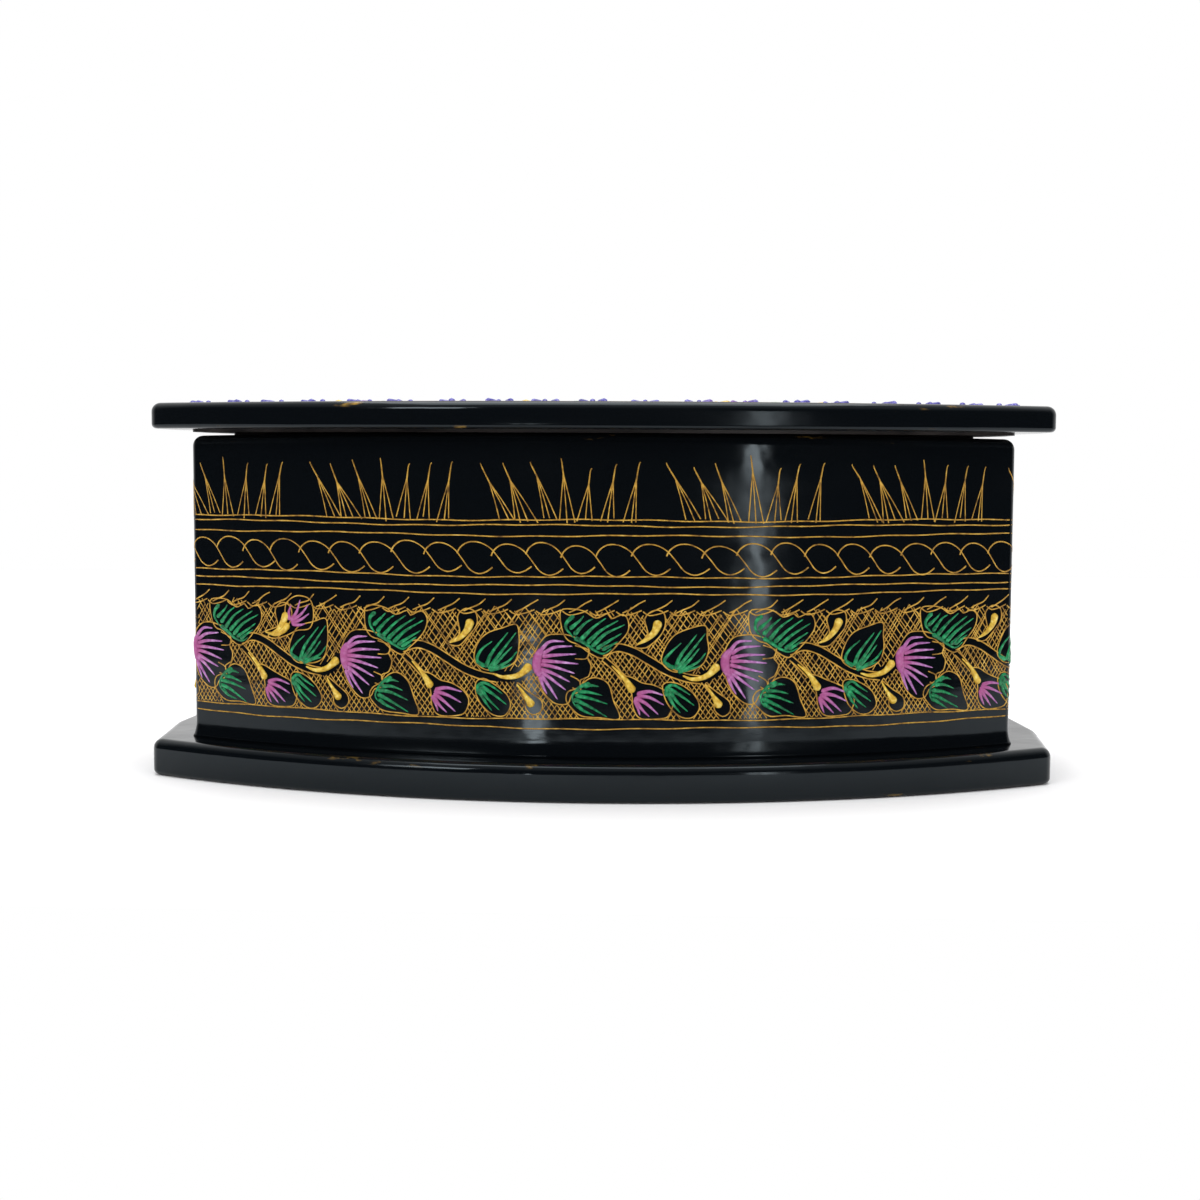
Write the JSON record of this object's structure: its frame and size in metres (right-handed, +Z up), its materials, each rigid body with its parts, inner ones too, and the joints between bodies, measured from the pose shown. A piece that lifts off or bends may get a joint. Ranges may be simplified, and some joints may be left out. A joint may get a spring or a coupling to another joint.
{
  "type": "lidded lacquer box",
  "caption": "Six-sided black lacquered wooden box with bowed front and back, overhanging base and lid boards, and a lift-off lid located by a rim.",
  "frame": {"origin": "centre of the underside of the base board, which is the centre of the plan", "axes": "+Z up, the front towards -Y, +X to the right seen from the front"},
  "size_m": [0.307, 0.17, 0.1246],
  "materials": {
    "black_lacquer": "gloss black lacquer with engraved gold lines and raised painted flowers",
    "inside_lacquer": "satin black lacquer",
    "bamboo": "bare bamboo"
  },
  "bodies": {
    "box": {"base_board": "black_lacquer", "front_wall": "black_lacquer", "back_wall": "black_lacquer", "front_right_end_wall": "black_lacquer", "front_left_end_wall": "black_lacquer", "back_right_end_wall": "black_lacquer", "back_left_end_wall": "black_lacquer", "front_dowel_left": "bamboo", "front_dowel_middle": "bamboo", "front_dowel_right": "bamboo", "front_right_end_dowel": "bamboo", "front_left_end_dowel": "bamboo", "back_dowel_left": "bamboo", "back_dowel_middle": "bamboo", "back_dowel_right": "bamboo", "back_right_end_dowel": "bamboo", "back_left_end_dowel": "bamboo"},
    "lid": {"lid_board": "black_lacquer", "lid_lining": "inside_lacquer", "lid_front_rim": "inside_lacquer", "lid_back_rim": "inside_lacquer", "lid_front_right_rim": "inside_lacquer", "lid_front_left_rim": "inside_lacquer", "lid_back_right_rim": "inside_lacquer", "lid_back_left_rim": "inside_lacquer"}
  },
  "joints": [
    {"name": "lid_lift", "type": "slide", "parent": "box", "child": "lid", "axis": [0, 0, 1], "range_m": [0, 0.15]}
  ]
}
